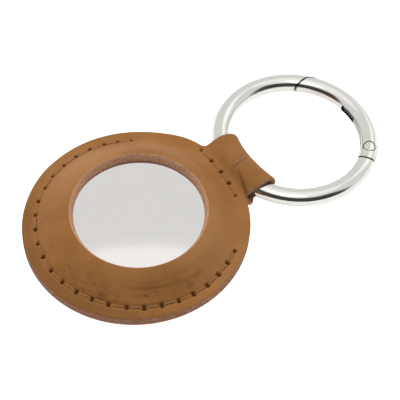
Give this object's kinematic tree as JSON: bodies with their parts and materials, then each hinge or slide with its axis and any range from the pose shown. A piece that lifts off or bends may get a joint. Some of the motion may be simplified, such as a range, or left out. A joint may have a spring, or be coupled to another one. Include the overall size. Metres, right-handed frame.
{
  "type": "tracker tag holder",
  "caption": "Round leather pocket with a window that holds a coin tracker, hung by a folded and sewn leather tab on a sprung gate ring.",
  "frame": {"origin": "centre of the flat rear face, on the axis of the disc", "axes": "+X along the hanging tab towards the ring, +Z out of the window, rear face on the XY plane"},
  "size_m": [0.0737, 0.042, 0.0106],
  "materials": {
    "leather": "smooth tan with raw cut edges",
    "thread": "tan waxed thread",
    "ring_metal": "polished nickel plate",
    "spring_steel": "bare spring steel",
    "shell_plastic": "glossy white",
    "cover_steel": "polished stainless steel",
    "tray_plastic": "matt black",
    "cell_steel": "bright nickel",
    "gasket_rubber": "soft black rubber",
    "board": "green solder mask",
    "magnet": "nickel-plated magnet",
    "coil_copper": "enamelled copper wire"
  },
  "bodies": {
    "holder": {"front_panel": "leather", "rear_panel": "leather", "tab_tail": "leather", "perimeter_needle_thread": "thread", "perimeter_bobbin_thread": "thread", "tab_needle_thread": "thread", "tab_bobbin_thread": "thread"},
    "tab": {"hanging_tab": "leather"},
    "ring": {"ring_body": "ring_metal"},
    "gate": {"ring_gate": "ring_metal", "gate_pin": "ring_metal", "gate_spring": "spring_steel"},
    "plunger": {"gate_plunger": "spring_steel"},
    "tag": {"tag_shell": "shell_plastic", "battery_tray": "tray_plastic", "coin_cell": "cell_steel", "cover_gasket": "gasket_rubber", "circuit_board": "board", "sounder_magnet": "magnet", "sounder_coil": "coil_copper", "cell_contact": "spring_steel"},
    "cover": {"battery_cover": "cover_steel"}
  },
  "joints": [
    {"name": "tab_flex", "type": "hinge", "parent": "holder", "child": "tab", "pos_m": [0.02108, 0, 0.0053], "axis": [0, -1, 0], "range_deg": [-40, 40], "stiffness_Nm_per_rad": 0.006},
    {"name": "ring_spin", "type": "hinge", "parent": "tab", "child": "ring", "pos_m": [0.03677, 0, 0.00308], "axis": [-0.093, 0, -0.9957], "continuous": true},
    {"name": "gate_swing", "type": "hinge", "parent": "ring", "child": "gate", "pos_m": [0.0468, -0.01008, 0.00214], "axis": [-0.093, 0, -0.9957], "range_deg": [-35, 0], "stiffness_Nm_per_rad": 0.02, "springref_deg": 17.19, "deforming": ["gate_spring"]},
    {"name": "plunger_travel", "type": "hinge", "parent": "gate", "child": "plunger", "pos_m": [0.03677, 0, 0.00308], "axis": [0.093, 0, 0.9957], "range_deg": [0, 1.2]},
    {"name": "tag_spin", "type": "hinge", "parent": "holder", "child": "tag", "pos_m": [0, 0, 0.0053], "axis": [0, 0, 1], "continuous": true},
    {"name": "cover_twist", "type": "hinge", "parent": "tag", "child": "cover", "pos_m": [0, 0, 0.0053], "axis": [0, 0, 1], "range_deg": [0, 20]}
  ],
  "couplings": [
    {"joint": "plunger_travel", "follows": "gate_swing", "ratio": -0.0308}
  ]
}
